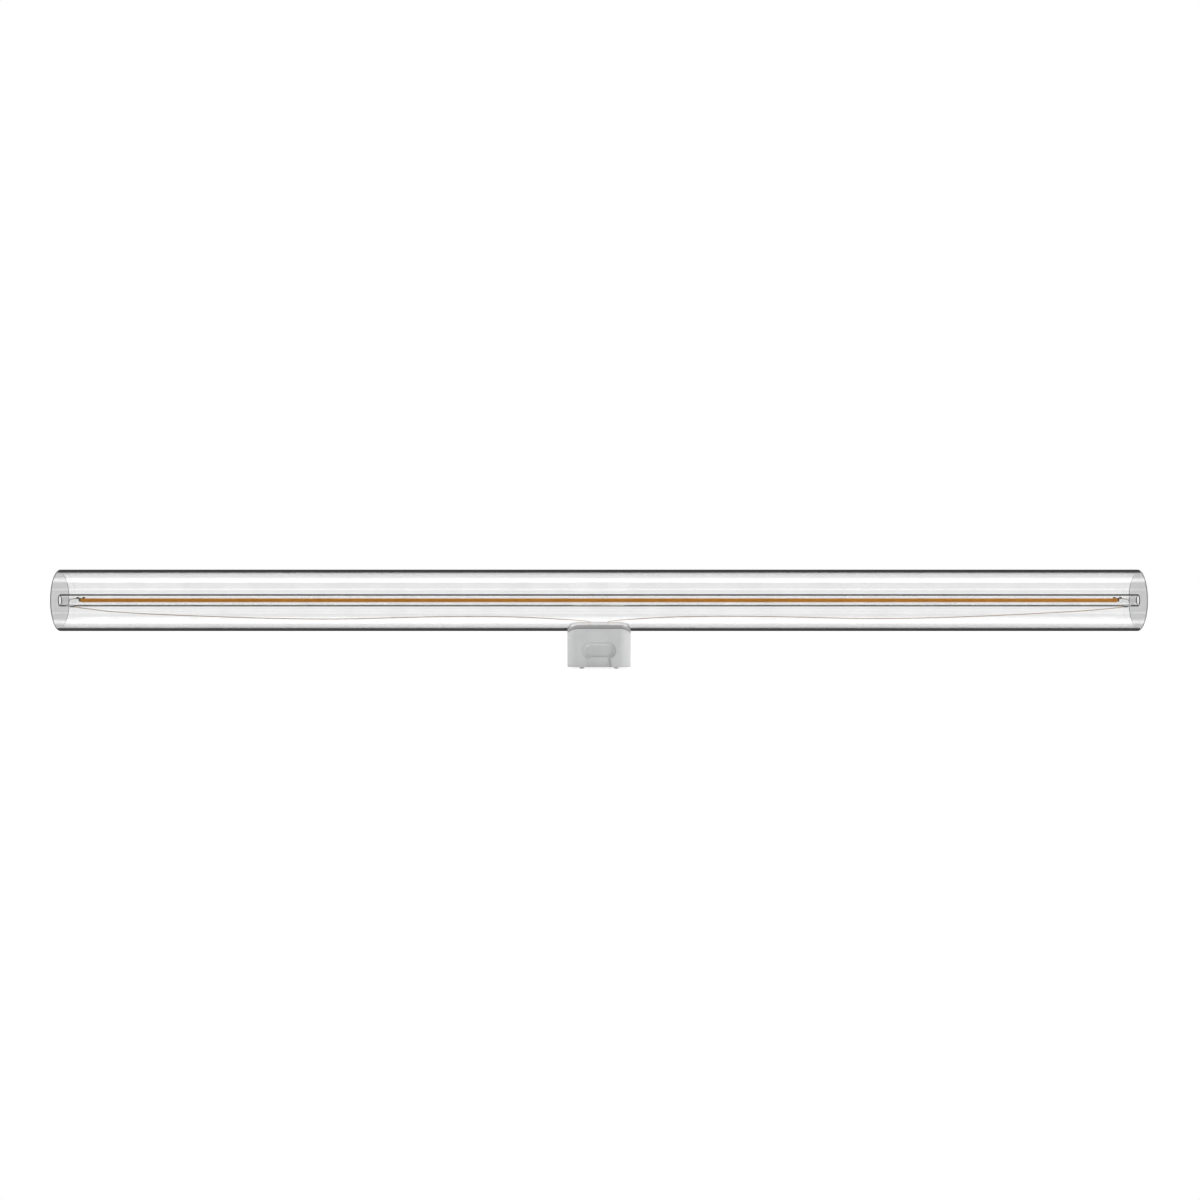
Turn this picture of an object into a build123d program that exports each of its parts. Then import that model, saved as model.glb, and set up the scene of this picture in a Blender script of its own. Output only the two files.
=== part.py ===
"""LED linear tube lamp with one central two-contact cap.

A clear glass tube lies along X. A thin inner tube on its axis holds one long phosphor strip, and a
copper wire runs from each end of the strip down into a moulded cap under the tube's middle.
All sizes are millimetres. The origin is the centre of the cap's flat end face, +Z points up
towards the tube, and the face that the picture shows looks along -Y.
"""

from build123d import *
from math import radians, tan
import os

os.makedirs("parts", exist_ok=True)

# Outer glass tube
tube_length = 500.0
tube_radius = 14.25
tube_wall = 1.3
tube_edge_round = 0.35
axis_height = 30.75  # the tube's axis above the cap's end face
feed_hole_radius = 5.0

# Discs that close the tube, and the fillet of adhesive behind each
disc_thickness = 1.6
disc_gap = 0.05
seal_leg = 2.0
seal_sag = 0.4  # of the fillet's hollow face

# Inner tube on the axis
inner_radius = 2.85
inner_wall = 0.7
inner_tube_gap = 0.05  # between the inner tube and the discs
inner_edge_round = 0.12
slot_length = 3.5
slot_width = 1.1
slot_from_end = 5.15  # from the tube's end to the slot's middle

# Filament strip
coat_to_tube_end = 9.8
coat_height = 1.8
coat_thickness = 1.3
coat_corner = 0.5
substrate_height = 1.1
substrate_thickness = 0.4
bare_end = 0.8  # of the substrate beyond the coat

# Terminal clip on each end of the strip
clip_sheet = 0.15
clip_width = 0.9
clip_lift = 0.05  # of its web above the coat
clip_over_coat = 2.0
clip_tongue = 2.0  # beyond the coat's end
clip_cheek_depth = 1.2
nugget_radius = 0.35
nugget_height = 0.2
nugget_inset = 0.5
clip_solder_gap = 0.02

# Wires and leads
terminal_lead_diameter = 0.25
lead_start_gap = 0.3  # from the substrate's end
lead_straight = 1.2  # beyond the clip's tongue
lead_slope = 0.05
lead_shoulder_run = 0.5
lead_shoulder_drop = 0.75
lead_knee_depth = 0.9  # below the axis
lead_foot_drop = 0.1  # below the bead's middle
lead_to_slot_end = 0.75
feed_wire_diameter = 0.35
bead_length = 2.1
bead_depth = 1.1
bead_gap = 0.05
bead_edge_round = 0.25
wire_hole_margin = 0.8  # from the feed hole's edge to the wire's middle
wire_entry_depth = 9.75  # below the axis, where the wire turns down
wire_entry_bend = 1.0
wire_rest_gap = 0.03
bow_depth = 9.0  # below the axis
corner_share = 0.45  # of the shorter run at a bend, taken by its arc

# The bow of each copper wire: share of the way from the cap to the bead, and share of its depth
left_bow_shares = (
    (0.97, 0.456), (0.93, 0.589), (0.85, 0.717), (0.745, 0.828), (0.62, 0.939),
    (0.49, 0.983), (0.37, 0.889), (0.24, 0.817), (0.125, 0.867), (0.045, 0.994),
)
right_bow_shares = (
    (0.97, 0.444), (0.92, 0.55), (0.835, 0.678), (0.73, 0.817), (0.61, 0.922),
    (0.49, 0.95), (0.36, 0.861), (0.235, 0.811), (0.125, 0.85), (0.045, 0.972),
)

# Collar between the glass and the cap
glue_thickness = 0.25
glue_skin = 0.05
glue_inset = 1.0
collar_thickness = 1.05
collar_edge_round = 0.3
shadow_gap_height = 0.4
shadow_gap_depth = 0.4
shadow_edge_round = 0.2
skirt_depth = 1.7
skirt_wall = 0.9
skirt_clearance = 0.1

# Cap housing
cap_length = 29.2
cap_depth = 19.0
cap_corner = 5.5
cap_wall = 1.5
cap_floor = 2.0
cap_edge_round = 0.4

# Snap recess in the front and back faces
pocket_length = 14.2
pocket_height = 6.4
pocket_below_axis = 23.0  # from the tube's axis to the pocket's middle
pocket_depth = 1.5
pocket_floor_round = 1.1
pocket_backing = 1.0  # plastic left behind the pocket
channel_top_width = 8.6
channel_end_width = 10.0
channel_top_depth = 0.45
channel_end_depth = 1.1
channel_into_pocket = 1.6  # from the pocket's middle down to the channel's top
recess_rim_round = 0.35

# Contacts under the end face
contact_spacing = 16.0
contact_radius = 1.2
contact_proud = 0.95
contact_dome = 0.75
contact_gap = 0.05
flange_radius = 2.1
flange_thickness = 0.5
post_radius = 0.5
post_height = 0.6

# Driver board and the ribs that hold it
board_thickness = 1.0
board_bottom = 4.6
board_to_skirt = 0.5
board_clearance = 0.15
rib_thickness = 0.8
rib_to_flange = 0.8
notch_width = 0.6
notch_depth = 1.2
wire_in_notch = 1.0

# Parts on the board, each placed from the board's middle
rectifier_size = (4.6, 3.6, 1.6)
rectifier_place = (-4.4, -0.2)
rectifier_legs = 2
ic_size = (4.9, 3.6, 1.4)
ic_place = (3.6, -0.6)
ic_legs = 4
leg_size = (0.45, 0.9, 0.2)
package_edge = 0.3
capacitor_radius = 2.5
capacitor_length = 9.0
capacitor_place = (-4.6, -0.3)
capacitor_edge_round = 0.5
fuse_radius = 1.15
fuse_length = 6.2
fuse_place = (6.6, 0.0)
fuse_edge_round = 0.38
fuse_lead_diameter = 0.5
fuse_lead_reach = 1.0
part_gap = 0.02
contact_lead_diameter = 0.7
contact_lead_rise = 0.5  # straight up from the contact's post
contact_lead_bend_drop = 0.3  # below the board's lower edge
contact_lead_on_board = 2.0

# Sizes that follow from the ones above
tube_bore = tube_radius - tube_wall
disc_inner_face = tube_length / 2 - disc_thickness
inner_bore = inner_radius - inner_wall
slot_middle = tube_length / 2 - slot_from_end
coat_end = tube_length / 2 - coat_to_tube_end
strip_end = coat_end + bare_end
tongue_end = coat_end + clip_tongue
clip_web_low = coat_height / 2 + clip_lift
bead_middle = slot_middle - (slot_length - bead_length) / 2 + bead_gap
wire_entry = feed_hole_radius - wire_hole_margin
collar_inner = tube_radius + glue_thickness
collar_outer = collar_inner + collar_thickness
cap_saddle = collar_outer + shadow_gap_height
cap_inner_length = cap_length - 2 * cap_wall
cap_inner_depth = cap_depth - 2 * cap_wall
cap_inner_corner = cap_corner - cap_wall
pocket_middle = axis_height - pocket_below_axis
channel_top = pocket_middle - channel_into_pocket
pad_face = cap_depth / 2 - pocket_depth - pocket_backing
rib_reach = (cap_inner_length - contact_spacing) / 2 - flange_radius - rib_to_flange
board_length = cap_inner_length - 2 * board_clearance
board_top = axis_height - cap_saddle - skirt_depth - board_to_skirt
board_middle = (board_bottom + board_top) / 2
contact_lead_top = board_bottom + contact_lead_on_board
sides = (("left", -1), ("right", 1))

tube_axis = Axis((0, 0, axis_height), (1, 0, 0))
profile_plane = Plane(origin=(0, 0, axis_height), x_dir=(1, 0, 0), z_dir=(0, -1, 0))


def across_tube(x):
    """The plane square to the tube's axis at x, with its own x along Y and its own y along Z."""
    return Plane(origin=(x, 0, axis_height), x_dir=(0, 1, 0), z_dir=(1, 0, 0))


def keep(part, label):
    """Name a finished piece and write it to its own file."""
    part.label = label
    export_step(part, f"parts/{label}.step")


def curved_face(part, radius):
    """The part's largest cylindrical face of this radius."""
    curved = part.faces().filter_by(GeomType.CYLINDER)
    curved = curved.filter_by(lambda face: abs(face.radius - radius) < part_gap)
    return curved.sort_by(SortBy.AREA)[-1]


def recess_rim(part, face_y):
    """The edges of the snap recess that lie in the cap's flat face at y."""
    reach = pocket_length / 2 + part_gap
    rim_top = pocket_middle + pocket_height / 2 + part_gap

    def in_rim(edge):
        box = edge.bounding_box()
        in_face = max(abs(box.min.Y - face_y), abs(box.max.Y - face_y)) < part_gap
        return in_face and box.min.X > -reach and box.max.X < reach and box.max.Z < rim_top

    return part.edges().filter_by(in_rim)


def arc_radii(points):
    """The largest arc at each corner: a share of its shorter run over the tangent of half its turn."""
    radii = []
    for before, corner, after in zip(points, points[1:], points[2:]):
        run_in = Vector(*corner) - Vector(*before)
        run_out = Vector(*after) - Vector(*corner)
        half_turn = radians(run_in.get_angle(run_out)) / 2
        radii.append(corner_share * min(run_in.length, run_out.length) / tan(half_turn))
    return radii


def bent_wire(points, radii, plane, diameter):
    """A round wire of one diameter along straight runs joined by tangent arcs in one plane."""
    with BuildPart() as wire:
        with BuildLine(plane) as route:
            FilletPolyline(*points, radius=radii)
        with BuildSketch(Plane(origin=route.line @ 0, z_dir=route.line % 0)):
            Circle(diameter / 2)
        sweep(path=route.line)
    length = sum(edge.length for edge in route.edges())
    expected = length * Circle(diameter / 2, mode=Mode.PRIVATE).area
    print(f"wire {length:.1f} mm long, volume over section times length "
          f"{wire.part.volume / expected:.4f}, tightest arc {min(radii):.2f}")
    return wire.part


# Outer glass tube, with the feed hole through its lower wall
with BuildPart() as outer_tube:
    with BuildSketch(across_tube(-tube_length / 2)):
        Circle(tube_radius)
        Circle(tube_bore, mode=Mode.SUBTRACT)
    extrude(amount=tube_length)
    fillet(outer_tube.edges().filter_by(GeomType.CIRCLE), tube_edge_round)
    with BuildSketch(Plane.XY):
        Circle(feed_hole_radius)
    extrude(amount=axis_height, mode=Mode.SUBTRACT)
keep(outer_tube.part, "outer_tube")

# Inner tube, with a slot through its lower wall near each end
with BuildPart() as inner_tube:
    with BuildSketch(across_tube(-tube_length / 2)):
        Circle(inner_radius)
        Circle(inner_bore, mode=Mode.SUBTRACT)
    extrude(amount=tube_length)
    fillet(inner_tube.edges().filter_by(GeomType.CIRCLE), inner_edge_round)
    with BuildSketch(Plane.XY):
        with Locations((-slot_middle, 0), (slot_middle, 0)):
            SlotOverall(slot_length, slot_width)
    extrude(amount=axis_height, mode=Mode.SUBTRACT)
keep(inner_tube.part, "inner_tube")

# End discs and the adhesive fillets behind them
for side, way in sides:
    with BuildPart() as end_disc:
        with BuildSketch(across_tube(way * disc_inner_face)):
            Circle(tube_bore - disc_gap)
            Circle(inner_radius + inner_tube_gap, mode=Mode.SUBTRACT)
        extrude(amount=way * disc_thickness)
    keep(end_disc.part, f"end_disc_{side}")

    with BuildPart() as end_seal:
        with BuildSketch(profile_plane):
            corner = (way * (disc_inner_face - disc_gap), tube_bore - disc_gap)
            on_tube = (corner[0] - way * seal_leg, corner[1])
            on_disc = (corner[0], corner[1] - seal_leg)
            with BuildLine():
                Polyline(on_tube, corner, on_disc)
                SagittaArc(on_disc, on_tube, way * seal_sag)
            make_face()
        revolve(axis=tube_axis)
    keep(end_seal.part, f"end_seal_{side}")

# Filament strip: a bare metal substrate, and the phosphor coat round it
with BuildPart() as led_substrate:
    with BuildSketch(across_tube(-strip_end)):
        Rectangle(substrate_thickness, substrate_height)
    extrude(amount=2 * strip_end)
keep(led_substrate.part, "led_substrate")

with BuildPart() as phosphor_coat:
    with BuildSketch(across_tube(-coat_end)):
        RectangleRounded(coat_thickness, coat_height, coat_corner)
        Rectangle(substrate_thickness, substrate_height, mode=Mode.SUBTRACT)
    extrude(amount=2 * coat_end)
keep(phosphor_coat.part, "phosphor_coat")

# Terminal clip: a web over the coat's end with a tongue, and two cheeks down the bare substrate
cheek_outer = substrate_thickness / 2 + clip_solder_gap + clip_sheet
for side, way in sides:
    with BuildPart() as clip:
        with BuildSketch(Plane.XY.offset(axis_height + clip_web_low)):
            web_middle = way * (tongue_end + coat_end - clip_over_coat) / 2
            with Locations((web_middle, 0)):
                Rectangle(clip_tongue + clip_over_coat, clip_width)
        extrude(amount=clip_sheet)
        with BuildSketch(across_tube(way * (coat_end + clip_solder_gap))):
            cheek_y = cheek_outer - clip_sheet / 2
            with Locations((-cheek_y, clip_web_low), (cheek_y, clip_web_low)):
                Rectangle(clip_sheet, clip_cheek_depth, align=(Align.CENTER, Align.MAX))
        extrude(amount=way * (bare_end - clip_solder_gap))
        with BuildSketch(Plane.XY.offset(axis_height + clip_web_low + clip_sheet)):
            near_weld = way * (coat_end - clip_over_coat + nugget_inset)
            far_weld = way * (tongue_end - nugget_inset)
            with Locations((near_weld, 0), (far_weld, 0)):
                Circle(nugget_radius)
        extrude(amount=nugget_height)
        fillet(clip.edges().filter_by(GeomType.CIRCLE).group_by(Axis.Z)[-1], nugget_height / 2)
    keep(clip.part, f"strip_terminal_{side}")

# Beads that fill the inboard part of each slot and hold the wire joint
bead_top = inner_bore
for side, way in sides:
    with BuildPart() as bead:
        with BuildSketch(Plane.XY.offset(axis_height - bead_top)):
            with Locations((way * bead_middle, 0)):
                SlotOverall(bead_length, slot_width - 2 * bead_gap)
        extrude(amount=-bead_depth)
        fillet(bead.faces().sort_by(Axis.Z)[0].edges(), bead_edge_round)
    keep(bead.part, f"wire_bead_{side}")

# Thin leads that curl from the clip's tongue down into the slot
lead_radius = terminal_lead_diameter / 2
lead_drop = slot_middle + slot_length / 2 - lead_to_slot_end
lead_level = clip_web_low - lead_radius - wire_rest_gap
bead_face = bead_middle + bead_length / 2
bead_level = -bead_top - bead_depth / 2
for side, way in sides:
    lead_points = [
        (way * (strip_end + lead_start_gap), lead_level),
        (way * (tongue_end + lead_straight), lead_level - lead_slope),
        (way * (lead_drop - lead_shoulder_run), lead_level - lead_shoulder_drop),
        (way * lead_drop, -lead_knee_depth),
        (way * lead_drop, bead_level - lead_foot_drop),
        (way * (bead_face + wire_rest_gap), bead_level),
    ]
    lead_radii = arc_radii(lead_points)
    lead = bent_wire(lead_points, lead_radii, profile_plane, terminal_lead_diameter)
    keep(lead, f"terminal_lead_{side}")

# Copper wires that bow from the beads to the cap and turn down through the feed hole
wire_radius = feed_wire_diameter / 2
wire_level = -inner_radius - wire_radius - wire_rest_gap
wire_start = bead_middle - bead_length / 2 - wire_rest_gap
wire_low_end = board_top - wire_in_notch - axis_height
for side, way, bow_shares in (("left", -1, left_bow_shares), ("right", 1, right_bow_shares)):
    wire_points = [(way * wire_start, wire_level)]
    for run_share, depth_share in bow_shares:
        run = wire_entry + run_share * (wire_start - wire_entry)
        wire_points.append((way * run, -depth_share * bow_depth))
    wire_points.append((way * wire_entry, -wire_entry_depth))
    wire_points.append((way * wire_entry, wire_low_end))
    wire_radii = arc_radii(wire_points)
    wire_radii[-1] = wire_entry_bend
    feed_wire = bent_wire(wire_points, wire_radii, profile_plane, feed_wire_diameter)
    keep(feed_wire, f"feed_wire_{side}")

# Film of adhesive between the glass and the collar
with BuildPart() as cap_adhesive:
    with BuildSketch(Plane.XY):
        RectangleRounded(cap_length - 2 * glue_inset, cap_depth - 2 * glue_inset,
                         cap_corner - glue_inset)
        Circle(feed_hole_radius, mode=Mode.SUBTRACT)
    extrude(amount=axis_height)
    with BuildSketch(across_tube(-cap_length)):
        Circle(collar_inner - glue_skin)
        Circle(tube_radius + glue_skin, mode=Mode.SUBTRACT)
    extrude(amount=2 * cap_length, mode=Mode.INTERSECT)
keep(cap_adhesive.part, "cap_adhesive")

# Collar: a curved band under the glass, a narrower step that leaves the shadow gap, and a skirt
with BuildPart() as collar_skirt:
    with BuildSketch(Plane.XY):
        RectangleRounded(cap_inner_length - 2 * skirt_clearance,
                         cap_inner_depth - 2 * skirt_clearance,
                         cap_inner_corner - skirt_clearance)
        RectangleRounded(cap_inner_length - 2 * skirt_clearance - 2 * skirt_wall,
                         cap_inner_depth - 2 * skirt_clearance - 2 * skirt_wall,
                         cap_inner_corner - skirt_clearance - skirt_wall, mode=Mode.SUBTRACT)
    extrude(amount=axis_height)
    with BuildSketch(across_tube(-cap_length)):
        Circle(cap_saddle + skirt_depth)
        Circle(collar_outer, mode=Mode.SUBTRACT)
    extrude(amount=2 * cap_length, mode=Mode.INTERSECT)

with BuildPart() as collar_step:
    with BuildSketch(Plane.XY):
        RectangleRounded(cap_length - 2 * shadow_gap_depth, cap_depth - 2 * shadow_gap_depth,
                         cap_corner - shadow_gap_depth)
    extrude(amount=axis_height)
    with BuildSketch(across_tube(-cap_length)):
        Circle(cap_saddle - glue_skin)
        Circle(collar_outer, mode=Mode.SUBTRACT)
    extrude(amount=2 * cap_length, mode=Mode.INTERSECT)

with BuildPart() as saddle_collar:
    with BuildSketch(Plane.XY):
        RectangleRounded(cap_length, cap_depth, cap_corner)
    extrude(amount=axis_height)
    with BuildSketch(across_tube(-cap_length)):
        Circle(collar_outer)
        Circle(collar_inner, mode=Mode.SUBTRACT)
    extrude(amount=2 * cap_length, mode=Mode.INTERSECT)
    fillet(curved_face(saddle_collar, collar_outer).edges(), shadow_edge_round)
    fillet(curved_face(saddle_collar, collar_inner).edges(), collar_edge_round)
    add(collar_step.part)
    add(collar_skirt.part)
    with BuildSketch(Plane.XY):
        Circle(feed_hole_radius)
    extrude(amount=axis_height, mode=Mode.SUBTRACT)
keep(saddle_collar.part, "saddle_collar")

# Tool shapes for the snap recess, on the front face: the scooped pocket and the tapered channel
front_face = Plane(origin=(0, -cap_depth / 2, 0), x_dir=(1, 0, 0), z_dir=(0, -1, 0))
with BuildPart() as pocket_tool:
    with BuildSketch(front_face.offset(cap_wall)):
        with Locations((0, pocket_middle)):
            SlotOverall(pocket_length, pocket_height)
    extrude(amount=-cap_wall - pocket_depth)
    fillet(pocket_tool.faces().sort_by(Axis.Y)[-1].edges(), pocket_floor_round)

with BuildPart() as channel_tool:
    with BuildSketch(front_face.offset(cap_wall)):
        with BuildLine():
            Polyline((-channel_end_width / 2, 0), (channel_end_width / 2, 0),
                     (channel_top_width / 2, channel_top), (-channel_top_width / 2, channel_top),
                     close=True)
        make_face()
    extrude(amount=-cap_wall - channel_end_depth)
    with BuildSketch(Plane.YZ.offset(-channel_end_width)):
        with BuildLine():
            Polyline((-cap_depth / 2 - cap_wall, 0),
                     (-cap_depth / 2 + channel_end_depth, 0),
                     (-cap_depth / 2 + channel_top_depth, channel_top),
                     (-cap_depth / 2 - cap_wall, channel_top), close=True)
        make_face()
    extrude(amount=2 * channel_end_width, mode=Mode.INTERSECT)

# Cap housing
with BuildPart() as cap_housing:
    with BuildSketch(Plane.XY):
        RectangleRounded(cap_length, cap_depth, cap_corner)
    extrude(amount=axis_height)
    fillet(cap_housing.faces().sort_by(Axis.Z)[0].edges(), cap_edge_round)
    with BuildSketch(across_tube(-cap_length)):
        Circle(cap_saddle)
    extrude(amount=2 * cap_length, mode=Mode.SUBTRACT)
    fillet(curved_face(cap_housing, cap_saddle).edges(), shadow_edge_round)
    with BuildSketch(Plane.XY.offset(cap_floor)):
        RectangleRounded(cap_inner_length, cap_inner_depth, cap_inner_corner)
    extrude(amount=axis_height, mode=Mode.SUBTRACT)
    # Pads inside the front and back walls, behind the recesses
    with BuildSketch(Plane.XY.offset(cap_floor)):
        pad_width = cap_inner_depth / 2 - pad_face
        pad_middle = (cap_inner_depth / 2 + pad_face) / 2
        with Locations((0, -pad_middle), (0, pad_middle)):
            Rectangle(pocket_length + 2 * pocket_backing, pad_width)
    extrude(amount=pocket_middle + pocket_height / 2 + pocket_backing - cap_floor)
    # Guide ribs at both ends hold the board's edges, and a ledge carries it
    with BuildSketch(Plane.XY.offset(cap_floor)):
        rib_y = board_thickness / 2 + board_clearance + rib_thickness / 2
        rib_x = cap_inner_length / 2 - rib_reach / 2
        with Locations((-rib_x, -rib_y), (-rib_x, rib_y), (rib_x, -rib_y), (rib_x, rib_y)):
            Rectangle(rib_reach, rib_thickness)
    extrude(amount=board_top - cap_floor)
    with BuildSketch(Plane.XY.offset(cap_floor)):
        with Locations((-rib_x, 0), (rib_x, 0)):
            Rectangle(rib_reach, board_thickness + 2 * board_clearance)
    extrude(amount=board_bottom - part_gap - cap_floor)
    # Snap recess, cut in the front and mirrored to the back
    add(pocket_tool.part, mode=Mode.SUBTRACT)
    add(channel_tool.part, mode=Mode.SUBTRACT)
    add(mirror(pocket_tool.part, about=Plane.XZ, mode=Mode.PRIVATE), mode=Mode.SUBTRACT)
    add(mirror(channel_tool.part, about=Plane.XZ, mode=Mode.PRIVATE), mode=Mode.SUBTRACT)
    fillet(recess_rim(cap_housing, -cap_depth / 2), recess_rim_round)
    fillet(recess_rim(cap_housing, cap_depth / 2), recess_rim_round)
    # Holes for the two contacts
    with Locations((-contact_spacing / 2, 0), (contact_spacing / 2, 0)):
        Hole(contact_radius + contact_gap, depth=cap_floor)
keep(cap_housing.part, "cap_housing")

# Contacts: a domed end, a shank through the floor, a clinched flange and a post for the lead
for side, way in sides:
    with BuildPart() as contact:
        with BuildSketch(Plane.XZ):
            low = -contact_proud
            flange_low = cap_floor + part_gap
            flange_top = flange_low + flange_thickness
            post_top = flange_top + post_height
            with BuildLine():
                Polyline((contact_radius, low + contact_dome), (contact_radius, flange_low),
                         (flange_radius, flange_low), (flange_radius, flange_top),
                         (post_radius, flange_top), (post_radius, post_top), (0, post_top),
                         (0, low))
                TangentArc((0, low), (contact_radius, low + contact_dome), tangent=(1, 0))
            make_face()
        revolve(axis=Axis.Z)
    keep(contact.part.moved(Location((way * contact_spacing / 2, 0, 0))), f"contact_{side}")

# Leads from the contacts up to the front of the board
lead_face = -board_thickness / 2 - contact_lead_diameter / 2 - part_gap
contact_lead_low = post_top + part_gap
for side, way in sides:
    lead_plane = Plane(origin=(way * contact_spacing / 2, 0, 0), x_dir=(0, 1, 0), z_dir=(1, 0, 0))
    lead_points = [(0, contact_lead_low), (0, contact_lead_low + contact_lead_rise),
                   (lead_face, board_bottom - contact_lead_bend_drop),
                   (lead_face, contact_lead_top)]
    lead_radii = arc_radii(lead_points)
    contact_lead = bent_wire(lead_points, lead_radii, lead_plane, contact_lead_diameter)
    keep(contact_lead, f"contact_lead_{side}")

# Driver board, with a notch in its top edge for each copper wire
with BuildPart() as driver_board:
    with BuildSketch(Plane.XZ.offset(-board_thickness / 2)):
        with Locations((0, (board_bottom + board_top) / 2)):
            Rectangle(board_length, board_top - board_bottom)
        with Locations((-wire_entry, board_top), (wire_entry, board_top)):
            Rectangle(notch_width, 2 * notch_depth, mode=Mode.SUBTRACT)
    extrude(amount=board_thickness)
keep(driver_board.part, "driver_board")


def flat_package(size, place, legs):
    """A moulded package on the board's front face, with a row of bent legs above and below."""
    wide, tall, thick = size
    leg_width, leg_reach, leg_sheet = leg_size
    board_front = Plane(origin=(place[0], -board_thickness / 2 - part_gap, board_middle + place[1]),
                        x_dir=(1, 0, 0), z_dir=(0, -1, 0))
    with BuildPart() as package:
        with BuildSketch(board_front):
            Rectangle(wide, tall)
        extrude(amount=thick)
        chamfer(package.faces().sort_by(Axis.Y)[0].edges(), package_edge)
        with BuildSketch(board_front):
            leg_middle = tall / 2 + leg_reach / 2
            with GridLocations(wide / legs, 2 * leg_middle, legs, 2):
                Rectangle(leg_width, leg_reach)
        extrude(amount=leg_sheet)
    return package.part


keep(flat_package(rectifier_size, rectifier_place, rectifier_legs), "bridge_rectifier")
keep(flat_package(ic_size, ic_place, ic_legs), "driver_ic")

# Smoothing capacitor lying against the back of the board
with BuildPart() as smoothing_capacitor:
    capacitor_y = board_thickness / 2 + part_gap + capacitor_radius
    can_start = capacitor_place[0] - capacitor_length / 2
    can_level = board_middle + capacitor_place[1]
    with BuildSketch(Plane(origin=(can_start, capacitor_y, can_level), z_dir=(1, 0, 0))):
        Circle(capacitor_radius)
    extrude(amount=capacitor_length)
    fillet(smoothing_capacitor.edges().filter_by(GeomType.CIRCLE), capacitor_edge_round)
keep(smoothing_capacitor.part, "smoothing_capacitor")

# Fusible resistor on the back of the board, with its two leads bent to the board
with BuildPart() as fuse_resistor:
    fuse_y = board_thickness / 2 + part_gap + fuse_radius
    fuse_start = fuse_place[0] - fuse_length / 2
    fuse_level = board_middle + fuse_place[1]
    with BuildSketch(Plane(origin=(fuse_start, fuse_y, fuse_level), z_dir=(1, 0, 0))):
        Circle(fuse_radius)
    extrude(amount=fuse_length)
    fillet(fuse_resistor.edges().filter_by(GeomType.CIRCLE), fuse_edge_round)
    with BuildSketch(Plane(origin=(fuse_start - fuse_lead_reach, fuse_y, fuse_level),
                           z_dir=(1, 0, 0))):
        Circle(fuse_lead_diameter / 2)
    extrude(amount=fuse_length + 2 * fuse_lead_reach)
    with BuildSketch(Plane.XZ.offset(-board_thickness / 2 - part_gap)):
        lead_span = fuse_length / 2 + fuse_lead_reach - fuse_lead_diameter / 2
        with Locations((fuse_place[0] - lead_span, fuse_level),
                       (fuse_place[0] + lead_span, fuse_level)):
            Circle(fuse_lead_diameter / 2)
    extrude(amount=-fuse_radius)
keep(fuse_resistor.part, "fuse_resistor")
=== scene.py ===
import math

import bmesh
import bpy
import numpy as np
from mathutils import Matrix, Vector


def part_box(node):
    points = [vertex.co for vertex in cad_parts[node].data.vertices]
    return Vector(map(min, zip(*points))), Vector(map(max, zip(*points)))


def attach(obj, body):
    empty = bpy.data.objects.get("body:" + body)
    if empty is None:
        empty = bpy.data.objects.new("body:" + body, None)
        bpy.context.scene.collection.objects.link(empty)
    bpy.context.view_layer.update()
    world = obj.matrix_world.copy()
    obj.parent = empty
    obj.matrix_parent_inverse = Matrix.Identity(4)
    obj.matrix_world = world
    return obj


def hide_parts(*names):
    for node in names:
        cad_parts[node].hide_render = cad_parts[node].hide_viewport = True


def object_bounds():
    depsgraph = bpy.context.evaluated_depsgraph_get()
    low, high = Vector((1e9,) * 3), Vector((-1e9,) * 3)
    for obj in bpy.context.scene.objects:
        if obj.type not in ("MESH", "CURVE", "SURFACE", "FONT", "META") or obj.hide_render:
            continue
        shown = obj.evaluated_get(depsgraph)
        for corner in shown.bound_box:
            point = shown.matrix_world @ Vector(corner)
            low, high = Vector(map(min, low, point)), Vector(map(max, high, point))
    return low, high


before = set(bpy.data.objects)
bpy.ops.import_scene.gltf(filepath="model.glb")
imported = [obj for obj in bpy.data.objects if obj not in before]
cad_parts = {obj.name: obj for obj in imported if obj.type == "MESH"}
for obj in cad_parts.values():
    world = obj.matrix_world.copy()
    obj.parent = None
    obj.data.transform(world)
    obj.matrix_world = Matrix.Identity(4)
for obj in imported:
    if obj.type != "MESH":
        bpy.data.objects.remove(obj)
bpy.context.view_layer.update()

# %% [markdown]
# # LED linear tube lamp with a central two-contact cap
# The solid model gives the frame: every piece keeps its place and its size from it. Here the
# glass, the strip, the wires and the contacts get finer surfaces, and every piece gets a finish.
# All lengths are metres. X runs along the tube, +Z points from the cap up to the tube, and the
# side that the picture shows looks along -Y.

MM = 0.001
AXIS_Z = 30.75 * MM

tube_low, tube_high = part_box("outer_tube")
HALF_LENGTH = tube_high.x
TUBE_RADIUS = tube_high.y
print(f"tube {2 * HALF_LENGTH / MM:.2f} mm long, {2 * TUBE_RADIUS / MM:.2f} mm across, "
      f"middle of its box {(tube_low.z + tube_high.z) / 2 / MM:.3f} mm high")


# %% [markdown]
# ## Putting a surface into a mesh
# Most pieces of this lamp are profiles carried along a line or turned about one. Such a surface is
# a grid of points, so whole arrays of numbers make it, and one helper turns the grid into faces.
# A loop over single points would do the same, but slower and with more to read.

# %% Helpers for grids, meshes and pieces
def grid_faces(rows, columns, wrap_rows=False):
    """Four corners for each cell of a grid. Point (i, j) has number i times columns plus j. The
    last column joins the first, and with wrap_rows the last row joins the first too."""
    i = np.arange(rows if wrap_rows else rows - 1)
    i, j = np.meshgrid(i, np.arange(columns), indexing="ij")
    i2, j2 = (i + 1) % rows, (j + 1) % columns
    corners = [i * columns + j, i * columns + j2, i2 * columns + j2, i2 * columns + j]
    return np.stack(corners, -1).reshape(-1, 4)


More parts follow.
